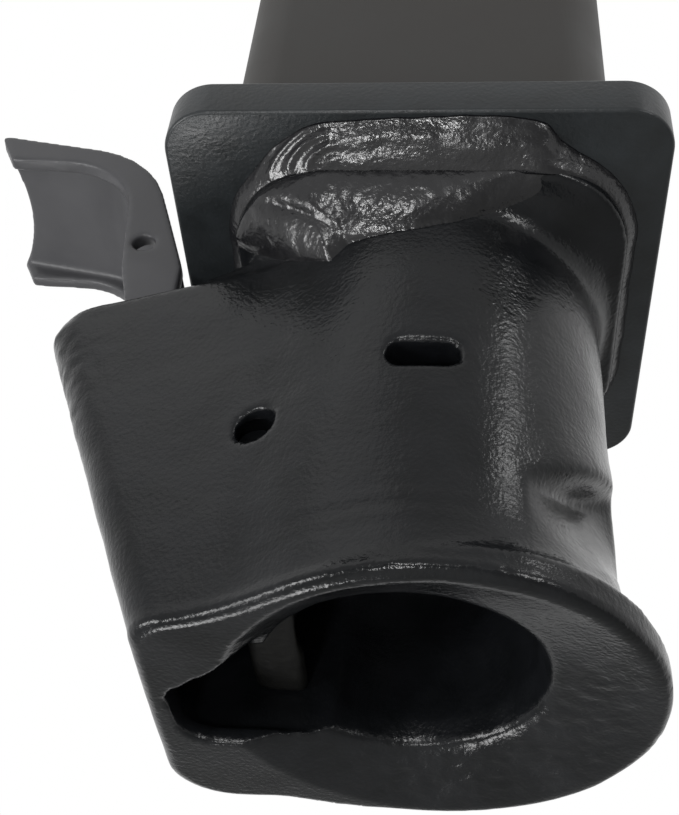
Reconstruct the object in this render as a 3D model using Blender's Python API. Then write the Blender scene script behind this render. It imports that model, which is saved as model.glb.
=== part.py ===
"""Gooseneck coupler: a cast ball socket with a latching jaw, welded under a square neck tube.

Frame: metres, +Z up along the neck tube, +Y away from the face with the small slot.
The origin is the centre of the ball seat, the flat roof of the socket, on the tube's axis.
Sizes below are in millimetres. Heights of the casting are given as depths below the stop plate.
"""
import math

import bmesh
import bpy
from mathutils import Matrix, Vector

MM = 0.001
CLEARANCE = 0.3            # gap left between pieces that touch
RUN_CLEARANCE = 0.4        # gap beside a piece that swings

# Neck tube and stop plate
TUBE_WIDTH = 101.6
TUBE_WALL = 9.5
TUBE_CORNER = 14.0
TUBE_LENGTH = 304.8
PLATE_WIDTH = 127.0
PLATE_LEFT = -PLATE_WIDTH / 2
PLATE_THICKNESS = 12.7
PLATE_CORNER = 12.5
PLATE_EDGE = 1.0
PIN_HOLE_R = 13.5          # holes for the pin that sets the coupler's height
PIN_HOLE_PITCH = 50.8
PIN_HOLE_COUNT = 4
PIN_HOLE_FIRST = 100.0     # above the stop plate
TUBE_WELD_LEG = 8.0

# Casting, outside
SEAT_DEPTH = 63.5          # ball seat below the stop plate
CASTING_DEPTH = 124.0
BODY_X = 3.5               # axis of barrel and flange
FLANGE_WIDTH = 101.6
FLANGE_CORNER = 27.0
FLANGE_HEIGHT = 7.0
FLANGE_FILLET = 10.0
BARREL_R = 44.5
RIM_X = 7.4
RIM_Y = 3.9                # the rim sits off the barrel's axis
RIM_R = 50.8
RIM_HEIGHT = 4.0
RIM_SWELL = 4.5            # the rim is this much taller towards its front right
RIM_SWELL_AT = -35.0       # azimuth in degrees
RIM_BEVEL = 1.6
FLARE_HEIGHT = 22.0
FUNNEL_DEPTH = 5.5
RIM_WIDTH = 3.0
HEAD_WELD_FRONT = 10.0
HEAD_WELD_SIDE = 4.5
FILL_WELD_START = 214.0    # azimuth of the second pass, in degrees
FILL_WELD_END = 284.0      # azimuth in degrees
FILL_WELD_TOP = 8.0
FILL_WELD_HEIGHT = 14.0
FILL_WELD_SWELL = 3.2
FILL_WELD_EDGE = 0.6
FILL_WELD_GAP = 0.6        # both surfaces are made of flat faces, so a little more than CLEARANCE
LEDGE_START = -56.0        # azimuth of the notch on the right, in degrees
LEDGE_END = -8.0           # azimuth in degrees
LEDGE_DEPTH = CASTING_DEPTH - 32.5     # at its start
LEDGE_RISE = 0.4           # per degree
LEDGE_INSET = 5.0
LEDGE_HEIGHT = 20.0

# Casting, latch housing on the left
HOUSING_TOP = 17.0
HOUSING_RAMP = 8.0         # slope between the flange and the housing's top
HOUSING_RAMP_X = -70.0
HOUSING_LEFT = -97.0
HOUSING_SHOULDER = 25.5    # depth where the left side starts to lean in
HOUSING_LEAN = 0.417
HOUSING_SHOULDER_R = 8.5
HOUSING_LIP = 3.0
HOUSING_FRONT_Y = -25.5    # front face at x = -50
HOUSING_FRONT_SLOPE = -0.284
HOUSING_BACK_Y = 46.0      # back face at the top
HOUSING_BACK_DRAFT = 4.0
HOUSING_KNEE_X = -32.0     # where the back face starts to turn into the barrel
HOUSING_CORNER = 10.0
HOUSING_BACK_CORNER = 14.0
BLEND = 9.0                # blend between housing and barrel

# Ball socket
BALL_R = 29.37             # 2-5/16 in ball that the socket takes
BALL_FLAT = 2.9            # flat on top of the ball
SOCKET_R = BALL_R + 0.95
SOCKET_LEAD = 6.5
MOUTH_R = SOCKET_R + 0.7
MOUTH_X = 0.8
SLOT_WIDTH = 17.3
SLOT_HEIGHT = 8.0
SLOT_X = 3.7
SLOT_DEPTH = SEAT_DEPTH - 1.0
LIP_DEPTH = CASTING_DEPTH - 4.5        # the chamber ends here, and a smaller mouth runs on through the lip

# Latch chamber
JAW_Y = 7.6                # middle of the jaw's slot
JAW_SLOT_WIDTH = 36.2
CHAMBER_MOUTH_X = -50.6
CHAMBER_CORNER = 8.0
CHAMBER_TOE = 17.5         # above the lip, where the chamber's left side starts to lean out
CHAMBER_LEFT = -85.3
CHAMBER_RIGHT = -14.5
LEVER_Y = 15.0             # middle of the release lever
LEVER_WIDTH = 53.0
LEVER_PLATE = 4.5
CHAMBER_CEILING = 19.0
LEVER_ROOM_CEILING = 17.4  # higher than the chamber, so that the lever's eye clears it when it swings
LEVER_ROOM_FLOOR = 41.5
LEVER_ROOM_MOUTH = 10.5    # from the lever pin to the right side of the opening on top
BORE_WALL = 3.0            # casting left in front of the lever pin

# Jaw
JAW_PIN_X = -34.0
JAW_PIN_DEPTH = 73.0
JAW_PIN_R = 5.5
KNOCKOUT_R = 4.9
KNOCKOUT_LENGTH = 6.5
EYE_R = 12.0
HOOK_OUTER_R = 39.0
HOOK_INNER_R = 28.0
HOOK_END_ANGLE = 215.0     # the hook grips the ball down to here
HOOK_FOOT = 2.4            # below the end of the grip
TAIL_TOP_DEPTH = 47.0
TAIL_LEFT = -6.5           # from the jaw pin
TAIL_RIGHT = 3.5

# Release lever and lock dog
LEVER_PIN_X = -71.0
LEVER_PIN_DEPTH = 27.0
LEVER_PIN_R = 4.0
TIE_PIN_X = -58.0
TIE_PIN_DEPTH = 33.0
TIE_PIN_R = 3.0
HUB_R = 9.5
TIE_EYE_R = 7.0
LOCK_HOLE_X = PLATE_LEFT - 14.2
LOCK_HOLE_HEIGHT = 11.9    # above the stop plate's underside
LOCK_HOLE_R = 3.2
SCOOP = 4.6
SCOOP_FROM = 2.6           # the cheeks stand out this far past the web's corners
WEB = 3.8
WEB_INSET = 0.3            # step between the cheeks' edges and the web
HANDLE_SKEW = 0.1          # the handle leans back to the left
SKEW_FROM = 8.0            # above the stop plate's underside
SKEW_FULL = 34.0
LEVER_GAP = 1.8            # between the neck and the stop plate's left edge
HANDLE_TIP_X = PLATE_LEFT - 68.1       # outline of the cheeks, from the plate's left edge and underside
HANDLE_TIP_RISE = 62.5
HANDLE_LOW_X = PLATE_LEFT - 61.9
HANDLE_LOW_RISE = 50.3
HANDLE_ROOT_X = PLATE_LEFT - 23.9
HANDLE_ROOT_RISE = 47.6
HANDLE_ROOT_R = 24.0
HANDLE_BEND_X = PLATE_LEFT - 18.0
HANDLE_BEND_RISE = 51.2
LEVER_BEND_R = 32.0
NECK_LEFT_X = PLATE_LEFT - 18.8
NECK_LEFT_RISE = 1.0
NECK_LEFT_R = 14.0
NECK_RIGHT_X = PLATE_LEFT - LEVER_GAP
NECK_RIGHT_RISE = 2.0
NECK_RIGHT_R = 10.0
NECK_FOOT_X = LEVER_PIN_X - 6.8
NECK_FOOT_DROP = 16.0
NECK_FOOT_R = 6.0
NECK_HEEL_DROP = 9.0
WEB_FOOT_X = NECK_RIGHT_X - 1.3
WEB_FOOT_RISE = 7.0
SCOOP_REACH = 20.0         # the scoop's cutter runs this far above and below the tip
TOOTH_GAP = 0.6
TOOTH_WIDTH = 7.6
TOOTH_DEPTH = 55.0
SPRING_X = -36.5
SPRING_PITCH_Y = 17.0      # between the two springs
SPRING_R = 4.4
SPRING_WIRE_R = 1.0
SPRING_TURNS = 5.0
SPRING_POCKET_R = 6.2
SPRING_POCKET_TOP = 9.0    # depth of the pocket's end
SPRING_LAND_DEPTH = 33.0
SPRING_LAND = 6.0
RING_WIRE = 1.2            # thickness of the snap rings
RING_RECESS = 1.2

PLATE_UNDERSIDE_Z = SEAT_DEPTH
JAW_PIN = (JAW_PIN_X, SEAT_DEPTH - JAW_PIN_DEPTH)
LEVER_PIN = (LEVER_PIN_X, SEAT_DEPTH - LEVER_PIN_DEPTH)
TIE_PIN = (TIE_PIN_X, SEAT_DEPTH - TIE_PIN_DEPTH)
LEVER_TIP = (HANDLE_TIP_X, PLATE_UNDERSIDE_Z + HANDLE_TIP_RISE)
LEVER_BEND = (HANDLE_BEND_X, PLATE_UNDERSIDE_Z + HANDLE_BEND_RISE)
BALL_Z = -(BALL_R - BALL_FLAT) - 0.5
BALL_CLEAR_R = BALL_R + 0.45
DOG_LOW = LEVER_Y - LEVER_WIDTH / 2 + LEVER_PLATE + RUN_CLEARANCE
DOG_HIGH = JAW_Y + JAW_SLOT_WIDTH / 2 - RUN_CLEARANCE
SPRINGS = {"lever_spring_front": (DOG_LOW + DOG_HIGH - SPRING_PITCH_Y) / 2,
           "lever_spring_back": (DOG_LOW + DOG_HIGH + SPRING_PITCH_Y) / 2}


def height(depth):
    """Height above the ball seat of a depth below the stop plate."""
    return SEAT_DEPTH - depth


def material(name, hex_colour, roughness, metallic):
    """A plain Principled material."""
    colour = [int(hex_colour[i:i + 2], 16) / 255 for i in (0, 2, 4)]
    linear = [c / 12.92 if c <= 0.04045 else ((c + 0.055) / 1.055) ** 2.4 for c in colour]
    made = bpy.data.materials.new(name)
    made.use_nodes = True
    shader = made.node_tree.nodes["Principled BSDF"]
    shader.inputs["Base Color"].default_value = (*linear, 1.0)
    shader.inputs["Roughness"].default_value = roughness
    shader.inputs["Metallic"].default_value = metallic
    return made


def add_object(name, bm, finish, parent=None, sharp_deg=35.0):
    """Turn a bmesh in millimetres, in the part's frame, into a named object."""
    bmesh.ops.recalc_face_normals(bm, faces=bm.faces)
    bmesh.ops.scale(bm, vec=(MM, MM, MM), verts=bm.verts)
    mesh = bpy.data.meshes.new(name)
    if parent is not None:
        bmesh.ops.translate(bm, vec=-parent.location, verts=bm.verts)
    bm.to_mesh(mesh)
    bm.free()
    if finish is not None:
        mesh.materials.append(finish)
    mesh.shade_smooth()
    mesh.set_sharp_from_angle(angle=math.radians(sharp_deg))
    made = bpy.data.objects.new(name, mesh)
    made.parent = parent
    bpy.context.collection.objects.link(made)
    return made


def add_axis(name, x, y, z):
    """An empty on a joint's axis, which carries the pieces that turn about it."""
    empty = bpy.data.objects.new(name, None)
    empty.location = (x * MM, y * MM, z * MM)
    bpy.context.collection.objects.link(empty)
    return empty


def combine(target, tool, operation):
    """Add a Boolean modifier, and hide the tool if it only cuts."""
    step = target.modifiers.new(tool.name, "BOOLEAN")
    step.operation = operation
    step.solver = "EXACT"
    step.object = tool
    tool.hide_render = True
    tool.display_type = "WIRE"


def loft(rings, closed_ends=True):
    """Skin between rings of equally many points."""
    bm = bmesh.new()
    made = [[bm.verts.new(point) for point in ring] for ring in rings]
    count = len(made[0])
    for lower, upper in zip(made, made[1:]):
        for i in range(count):
            j = (i + 1) % count
            bm.faces.new((lower[i], lower[j], upper[j], upper[i]))
    if closed_ends:
        bm.faces.new(made[0])
        bm.faces.new(made[-1])
    else:
        first, last = made[0], made[-1]
        for i in range(count):
            j = (i + 1) % count
            bm.faces.new((last[i], last[j], first[j], first[i]))
    return bm


def prism(outline_xz, y_low, y_high):
    """Extrude an outline in the XZ plane along Y."""
    return loft([[(x, y, z) for x, z in outline_xz] for y in (y_low, y_high)])


def circle_xy(cx, cy, radius, z, count):
    steps = [2 * math.pi * i / count for i in range(count)]
    return [(cx + radius * math.cos(a), cy + radius * math.sin(a), z) for a in steps]


def rod_y(x, z, radius, y_low, y_high, count=24, edge=0.0):
    """A round pin or hole cutter along Y, with an optional chamfer at both ends."""
    stations = [(y_low, radius - edge), (y_low + edge, radius), (y_high - edge, radius),
                (y_high, radius - edge)] if edge else [(y_low, radius), (y_high, radius)]
    steps = [2 * math.pi * (i + 0.5) / count for i in range(count)]
    return loft([[(x + r * math.cos(a), y, z + r * math.sin(a)) for a in steps]
                 for y, r in stations])


def rod_z(x, y, radius, z_low, z_high, count=24):
    return loft([circle_xy(x, y, radius, z, count) for z in (z_low, z_high)])


def rounded(points, radii, step_deg=15.0):
    """Round the corners of a closed 2D outline, each by its own radius."""
    made = []
    count = len(points)
    for i, (corner, radius) in enumerate(zip(points, radii)):
        corner = Vector(corner)
        to_last = (Vector(points[i - 1]) - corner).normalized()
        to_next = (Vector(points[(i + 1) % count]) - corner).normalized()
        if radius <= 0:
            made.append(tuple(corner))
            continue
        half = to_last.angle(to_next) / 2
        centre = corner + (to_last + to_next).normalized() * (radius / math.sin(half))
        start = corner + to_last * (radius / math.tan(half)) - centre
        turn = math.pi - 2 * half
        side = 1 if to_last.x * to_next.y - to_last.y * to_next.x < 0 else -1
        steps = max(2, math.ceil(math.degrees(turn) / step_deg))
        for k in range(steps + 1):
            made.append(tuple(centre + Matrix.Rotation(side * turn * k / steps, 2) @ start))
    return made


def rounded_square(cx, cy, width, corner, step_deg=15.0):
    half = width / 2
    corners = [(cx - half, cy - half), (cx + half, cy - half),
               (cx + half, cy + half), (cx - half, cy + half)]
    return rounded(corners, [corner] * 4, step_deg)


def arc(cx, cy, radius, start_deg, end_deg, count):
    """Points of an arc, both ends included."""
    steps = [math.radians(start_deg + (end_deg - start_deg) * i / count) for i in range(count + 1)]
    return [(cx + radius * math.cos(a), cy + radius * math.sin(a)) for a in steps]


# The casting's skin: a stack of sections, each given as a distance from the tube's axis
def distance_to_outline(outline, angle):
    """How far a ray from the tube's axis runs before it leaves a convex outline."""
    dx, dy = math.cos(angle), math.sin(angle)
    for (ax, ay), (bx, by) in zip(outline, outline[1:] + outline[:1]):
        ex, ey = bx - ax, by - ay
        cross = dx * ey - dy * ex
        if abs(cross) < 1e-9:
            continue
        along = (ax * ey - ay * ex) / cross
        across = (ax * dy - ay * dx) / cross
        if along > 0 and -1e-9 <= across <= 1 + 1e-9:
            return along
    return 0.0


def distance_to_circle(cx, cy, radius, angle):
    along = cx * math.cos(angle) + cy * math.sin(angle)
    aside = cx * math.sin(angle) - cy * math.cos(angle)
    return along + math.sqrt(radius ** 2 - aside ** 2)


def smooth_max(a, b, width):
    """The larger of two distances, with a fillet where they cross."""
    near = max(width - abs(a - b), 0.0) / width
    return max(a, b) + near * near * width / 4


def quarter(share):
    """Height of a concave quarter round: 0 at its foot, 1 at its edge."""
    share = min(max(share, 0.0), 1.0)
    return 1 - math.sqrt(1 - share * share)


def housing_front(x):
    return HOUSING_FRONT_Y + HOUSING_FRONT_SLOPE * (x + 50.0)


def housing_back(depth):
    return HOUSING_BACK_Y + HOUSING_BACK_DRAFT * depth / CASTING_DEPTH


def skin_back(depth):
    """How far back the barrel, or the flare below it, reaches on its own axis."""
    rim_back = RIM_Y + RIM_R
    return BARREL_R + (rim_back - BARREL_R) * flare_share(depth)


def housing_left(depth):
    """Left end of the housing at a depth: a round shoulder, then a side that leans in."""
    x = HOUSING_LEFT + HOUSING_LEAN * max(depth - HOUSING_SHOULDER, 0.0)
    rise = max(HOUSING_SHOULDER - depth, 0.0)
    return x + HOUSING_SHOULDER_R - math.sqrt(HOUSING_SHOULDER_R ** 2 - rise ** 2)


def housing_outline(depth):
    """The housing's plan at a depth, with its lip and bottom edge rounded."""
    barrel_left = BODY_X - BARREL_R
    if depth < HOUSING_TOP:
        share = (depth - HOUSING_TOP + HOUSING_RAMP) / HOUSING_RAMP
        left = barrel_left + (HOUSING_RAMP_X - barrel_left) * share
        inset = HOUSING_LIP
    else:
        bottom = HOUSING_LIP * quarter(1 - (CASTING_DEPTH - depth) / HOUSING_LIP)
        left = housing_left(depth) + bottom
        inset = HOUSING_LIP * quarter(1 - (depth - HOUSING_TOP) / HOUSING_LIP) + bottom
    back = housing_back(depth) - inset
    corners = [(left, housing_front(left) + inset), (BODY_X, housing_front(BODY_X) + inset),
               (BODY_X, skin_back(depth) - 1.0), (max(HOUSING_KNEE_X, left + HOUSING_BACK_CORNER + 1), back),
               (left, back)]
    return rounded(corners, [HOUSING_CORNER, 0, 0, 0, HOUSING_BACK_CORNER], 10.0)


def flange_share(depth):
    return quarter(1 - (depth - FLANGE_HEIGHT) / FLANGE_FILLET)


def flare_share(depth, angle=math.pi):
    """How far the barrel has flared out at a depth: 0 at the top of the flare, 1 at the rim."""
    swell = max(math.cos(angle - math.radians(RIM_SWELL_AT)), 0.0) ** 2 * RIM_SWELL
    return quarter((depth - CASTING_DEPTH + RIM_HEIGHT + swell + FLARE_HEIGHT) / FLARE_HEIGHT)


def skin_radii(depth, angles):
    """Distance of the casting's skin from the tube's axis at a depth, for each angle."""
    flange = rounded_square(BODY_X, 0.0, FLANGE_WIDTH, FLANGE_CORNER, 6.0)
    rim_inset = RIM_BEVEL * quarter(1 - (CASTING_DEPTH - depth) / RIM_BEVEL)
    housing = housing_outline(depth) if depth > HOUSING_TOP - HOUSING_RAMP else None
    radii = []
    for angle in angles:
        barrel = distance_to_circle(BODY_X, 0.0, BARREL_R, angle)
        radius = barrel + flange_share(depth) * (distance_to_outline(flange, angle) - barrel)
        rim = distance_to_circle(RIM_X, RIM_Y, RIM_R, angle) - rim_inset
        radius += flare_share(depth, angle) * (rim - barrel)
        if housing:
            radius = smooth_max(radius, distance_to_outline(housing, angle), BLEND)
        radii.append(radius)
    return radii


def section(depth, angles):
    """One section of the casting's skin, as points."""
    z = height(depth)
    return [(r * math.cos(a), r * math.sin(a), z) for r, a in zip(skin_radii(depth, angles), angles)]


def section_angles():
    """Closer together on the left, where the housing's corners are."""
    angles = []
    a = -180.0
    while a < 180.0 - 1e-6:
        angles.append(math.radians(a))
        a += 2.5 if abs(a) > 147.5 else 5.0
    return angles


def section_depths():
    lip = [HOUSING_TOP + HOUSING_LIP * s for s in (0.0, 0.12, 0.4, 1.0)]
    fillet = [FLANGE_HEIGHT + FLANGE_FILLET * s for s in (0.0, 0.04, 0.16, 0.4, 0.7)]
    flare_top = CASTING_DEPTH - RIM_HEIGHT - FLARE_HEIGHT
    shoulder = [HOUSING_SHOULDER - step for step in (4.5, 2.2)]
    shoulder += [HOUSING_SHOULDER + (flare_top - HOUSING_SHOULDER) * s for s in (0.0, 0.17, 0.4, 0.61, 0.83)]
    flare = [flare_top + FLARE_HEIGHT * s for s in (0.0, 0.3, 0.5, 0.64, 0.76, 0.87, 0.95, 1.0)]
    rim = [CASTING_DEPTH - RIM_BEVEL * s for s in (1.0, 0.4, 0.1, 0.0)]
    return [CLEARANCE, *fillet, *lip, *shoulder, *flare, *rim]


def socket_cutter():
    """The funnel, the mouth, the bore and the domed roof with its flat seat."""
    mouth = height(CASTING_DEPTH - FUNNEL_DEPTH)
    rim_r = RIM_R - RIM_WIDTH
    slope = (rim_r - MOUTH_R) / FUNNEL_DEPTH
    rings = [circle_xy(RIM_X, RIM_Y, rim_r + slope, height(CASTING_DEPTH) - 1.0, 64),
             circle_xy(RIM_X, RIM_Y, rim_r, height(CASTING_DEPTH), 64),
             circle_xy(MOUTH_X, 0.0, MOUTH_R, mouth, 64),
             circle_xy(0.0, 0.0, SOCKET_R, mouth + SOCKET_LEAD, 64),
             circle_xy(0.0, 0.0, SOCKET_R, BALL_Z, 64)]
    seat_angle = math.asin(-BALL_Z / SOCKET_R)
    for k in range(1, 6):
        a = seat_angle * k / 5
        rings.append(circle_xy(0.0, 0.0, SOCKET_R * math.cos(a), BALL_Z + SOCKET_R * math.sin(a), 64))
    return loft(rings)


def chamber_outline():
    """Side view of the space that the jaw and the lock dog swing in, from the bottom up."""
    right = CHAMBER_RIGHT
    depth_points = [(-8.0, LIP_DEPTH), (CHAMBER_MOUTH_X, LIP_DEPTH), (-58.5, LIP_DEPTH - CHAMBER_TOE),
                    (-73.0, 66.0), (-80.0, 48.0), (CHAMBER_LEFT, 36.0), (CHAMBER_LEFT, CHAMBER_CEILING),
                    (right - 3.5, CHAMBER_CEILING), (right, 30.0), (right, SEAT_DEPTH - 21.5),
                    (right - 2.5, SEAT_DEPTH - 15.5), (right - 6.0, SEAT_DEPTH - 8.5),
                    (right - 6.5, SEAT_DEPTH - 3.5), (right - 6.5, SEAT_DEPTH + 16.5),
                    (-8.0, SEAT_DEPTH + 16.5)]
    return [(x, height(d)) for x, d in depth_points]


def chamber_cutter():
    """The narrow chamber, with round corners on its left side."""
    bm = prism(chamber_outline(), JAW_Y - JAW_SLOT_WIDTH / 2, JAW_Y + JAW_SLOT_WIDTH / 2)
    left = [e for e in bm.edges
            if all(v.co.x <= CHAMBER_MOUTH_X + 0.1 for v in e.verts)
            and abs(e.verts[0].co.y - e.verts[1].co.y) < 0.1
            and all(v.co.z < height(CHAMBER_CEILING) - 1 or v.co.x < CHAMBER_LEFT + 0.3 for v in e.verts)
            and abs(e.verts[0].co.z - e.verts[1].co.z) > 1.0]
    bmesh.ops.bevel(bm, geom=left, offset=CHAMBER_CORNER, segments=4, profile=0.5,
                    affect="EDGES", clamp_overlap=True)
    return bm


def mouth_cutter():
    """The jaw's slot where it runs out through the lip, narrower at its round left end."""
    outline = rounded([(-52.0, 2.0), (-27.0, -18.0), (-8.0, -18.0), (-8.0, 24.5), (-50.0, 22.5)],
                      [6.0, 0, 0, 0, 8.0])
    return loft([[(x, y, z) for x, y in outline]
                 for z in (height(CASTING_DEPTH) - 2, height(LIP_DEPTH) + 1)])


def ledge_cutter():
    """The notch on the barrel's right, under a ledge that climbs to the right."""
    rings = []
    count = 12
    for k in range(count + 1):
        degrees = LEDGE_START + (LEDGE_END - LEDGE_START) * k / count
        a = math.radians(degrees)
        inset = LEDGE_INSET * math.sin(math.pi * k / count) - 0.5
        top = height(LEDGE_DEPTH - LEDGE_RISE * (degrees - LEDGE_START))
        outer = BARREL_R + 4.0
        rings.append([(BODY_X + r * math.cos(a), r * math.sin(a), z)
                      for r, z in ((outer, top), (BARREL_R - inset, top), (outer, top - LEDGE_HEIGHT))])
    return loft(rings)


def make_casting(finish):
    angles = section_angles()
    casting = add_object("head_casting", loft([section(d, angles) for d in section_depths()]),
                         finish, sharp_deg=50.0)
    wide_low = LEVER_Y - LEVER_WIDTH / 2 - RUN_CLEARANCE
    wide_high = LEVER_Y + LEVER_WIDTH / 2 + RUN_CLEARANCE
    right = TIE_PIN_X + TIE_EYE_R + 2.0
    mouth = LEVER_PIN_X + LEVER_ROOM_MOUTH
    floor, ceiling, above = height(LEVER_ROOM_FLOOR), height(LEVER_ROOM_CEILING), height(4.0)
    wide = [(CHAMBER_LEFT, height(36.0)), (CHAMBER_LEFT + 3.3, floor), (right, floor), (right, ceiling),
            (mouth, ceiling), (mouth, above), (CHAMBER_LEFT, above)]
    jaw_bore_low = housing_front(JAW_PIN_X) + KNOCKOUT_LENGTH
    jaw_back = housing_back(JAW_PIN_DEPTH)
    lever_back = housing_back(LEVER_PIN_DEPTH)
    lever_bore_low = housing_front(LEVER_PIN_X) + BORE_WALL
    slot = rounded([(SLOT_X - SLOT_WIDTH / 2, -SLOT_HEIGHT / 2 + height(SLOT_DEPTH)),
                    (SLOT_X + SLOT_WIDTH / 2, -SLOT_HEIGHT / 2 + height(SLOT_DEPTH)),
                    (SLOT_X + SLOT_WIDTH / 2, SLOT_HEIGHT / 2 + height(SLOT_DEPTH)),
                    (SLOT_X - SLOT_WIDTH / 2, SLOT_HEIGHT / 2 + height(SLOT_DEPTH))],
                   [SLOT_HEIGHT * 0.45] * 4)
    cuts = {
        "cut_socket": socket_cutter(),
        "cut_chamber": chamber_cutter(),
        "cut_lever_room": prism(wide, wide_low, wide_high),
        "cut_slot": prism(slot, -BARREL_R - 10, -13.0),
        "cut_mouth": mouth_cutter(),
        "cut_ledge": ledge_cutter(),
        "cut_jaw_bore": rod_y(*JAW_PIN, JAW_PIN_R + CLEARANCE, jaw_bore_low, jaw_back + 10),
        "cut_knockout": rod_y(*JAW_PIN, KNOCKOUT_R, jaw_bore_low - 20, jaw_bore_low + 1),
        "cut_jaw_groove": snap_groove(JAW_PIN, JAW_PIN_R, jaw_back),
        "cut_lever_bore": rod_y(*LEVER_PIN, LEVER_PIN_R + CLEARANCE, lever_bore_low, lever_back + 10),
        "cut_lever_groove": snap_groove(LEVER_PIN, LEVER_PIN_R, lever_back),
    }
    for name, y in SPRINGS.items():
        cuts["cut_pocket_" + name] = rod_z(SPRING_X, y, SPRING_POCKET_R, height(CHAMBER_CEILING) - 2,
                                           height(SPRING_POCKET_TOP))
    for name, bm in cuts.items():
        combine(casting, add_object(name, bm, None), "DIFFERENCE")
    return casting


def snap_groove(pin, pin_r, face_y):
    """The groove in the casting that a snap ring springs into."""
    low = face_y - RING_RECESS - RING_WIRE - 2 * CLEARANCE
    return rod_y(*pin, pin_r + 2.2, low, low + RING_WIRE + 2 * CLEARANCE)


def make_snap_ring(name, pin, pin_r, face_y, finish):
    """A C-shaped ring with an eyed lug at each end, in its groove behind the pin."""
    low = face_y - RING_RECESS - RING_WIRE - CLEARANCE
    outer, inner = pin_r + 1.9, pin_r - 0.9
    gap = 26.0
    outline = [(pin[0] + x, pin[1] + z) for x, z in
               arc(0, 0, outer, -90 + gap, 270 - gap, 24)
               + arc(0, 0, inner - 1.4, 270 - gap, 270 - gap - 18, 2)
               + arc(0, 0, inner, 270 - gap - 26, -90 + gap + 26, 20)
               + arc(0, 0, inner - 1.4, -90 + gap + 18, -90 + gap, 2)]
    return add_object(name, prism(outline, low, low + RING_WIRE), finish)


def make_pin(name, pin, radius, y_low, y_high, finish, parent=None):
    return add_object(name, rod_y(*pin, radius, y_low, y_high, 28, 0.8), finish, parent)


def make_plate(finish):
    rings = []
    low, high = PLATE_UNDERSIDE_Z, PLATE_UNDERSIDE_Z + PLATE_THICKNESS
    for inset, z in ((PLATE_EDGE, low), (0.3 * PLATE_EDGE, low + 0.3 * PLATE_EDGE), (0, low + PLATE_EDGE),
                     (0, high - PLATE_EDGE), (0.3 * PLATE_EDGE, high - 0.3 * PLATE_EDGE),
                     (PLATE_EDGE, high)):
        outline = rounded_square(0, 0, PLATE_WIDTH - 2 * inset, PLATE_CORNER - inset, 11.25)
        rings.append([(x, y, z) for x, y in outline])
    return add_object("stop_plate", loft(rings), finish)


def make_tube(finish):
    low = PLATE_UNDERSIDE_Z + PLATE_THICKNESS + CLEARANCE
    high = low + TUBE_LENGTH
    outer = rounded_square(0, 0, TUBE_WIDTH, TUBE_CORNER, 11.25)
    inner = rounded_square(0, 0, TUBE_WIDTH - 2 * TUBE_WALL, TUBE_CORNER - TUBE_WALL, 11.25)
    rings = [[(x, y, z) for x, y in outline]
             for outline, z in ((outer, low), (outer, high), (inner, high), (inner, low))]
    tube = add_object("inner_tube", loft(rings, closed_ends=False), finish)
    for k in range(PIN_HOLE_COUNT):
        z = low + PIN_HOLE_FIRST + k * PIN_HOLE_PITCH
        hole = rod_y(0, z, PIN_HOLE_R, -TUBE_WIDTH, TUBE_WIDTH, 32)
        combine(tube, add_object(f"cut_pin_hole_{k + 1}", hole, None), "DIFFERENCE")
    return tube


def bead(name, centre_x, width, corner, z, rise, leg_of, finish):
    """A fillet weld round a square: rise +1 stands on z, -1 hangs from it."""
    inner = rounded_square(centre_x, 0, width + 2 * CLEARANCE, corner, 9.0)
    count = len(inner)
    rings = []
    for i, (x, y) in enumerate(inner):
        along = Vector(inner[(i + 1) % count]) - Vector(inner[i - 1])
        out = Vector((along.y, -along.x)).normalized()
        leg = leg_of(out)
        foot = z + rise * CLEARANCE
        profile = [(0.0, 0.0), (leg, 0.0), (0.80 * leg, 0.34 * leg), (0.34 * leg, 0.72 * leg),
                   (0.0, 0.82 * leg)]
        rings.append([(x + out.x * u, y + out.y * u, foot + rise * v) for u, v in profile])
    return add_object(name, loft(rings, closed_ends=False), finish, sharp_deg=60.0)


def make_fill_weld(finish):
    """The second pass, laid in the hollow between flange and barrel at the front left."""
    rings = []
    count = 18
    levels = [FILL_WELD_TOP + FILL_WELD_HEIGHT * k / 7 for k in range(8)]
    for k in range(count + 1):
        a = math.radians(FILL_WELD_START + (FILL_WELD_END - FILL_WELD_START) * k / count)
        along = math.sin(math.pi * min(k / count * 1.6 + 0.05, 0.95)) ** 0.5
        skin = [skin_radii(depth, [a])[0] + FILL_WELD_GAP for depth in levels]
        swell = [FILL_WELD_EDGE + FILL_WELD_SWELL * along * math.sin(math.pi * i / 7) for i in range(8)]
        ring = [(r, height(d)) for r, d in zip(skin, levels)]
        ring += [(r + t, height(d)) for r, t, d in reversed(list(zip(skin, swell, levels)))]
        rings.append([(r * math.cos(a), r * math.sin(a), z) for r, z in ring])
    return add_object("fill_weld", loft(rings), finish, sharp_deg=60.0)


def head_weld_leg(out):
    """Wide along the front, where the bead was laid down twice."""
    share = max(-out.y, 0.0) ** 4
    return HEAD_WELD_SIDE + (HEAD_WELD_FRONT - HEAD_WELD_SIDE) * share


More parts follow.
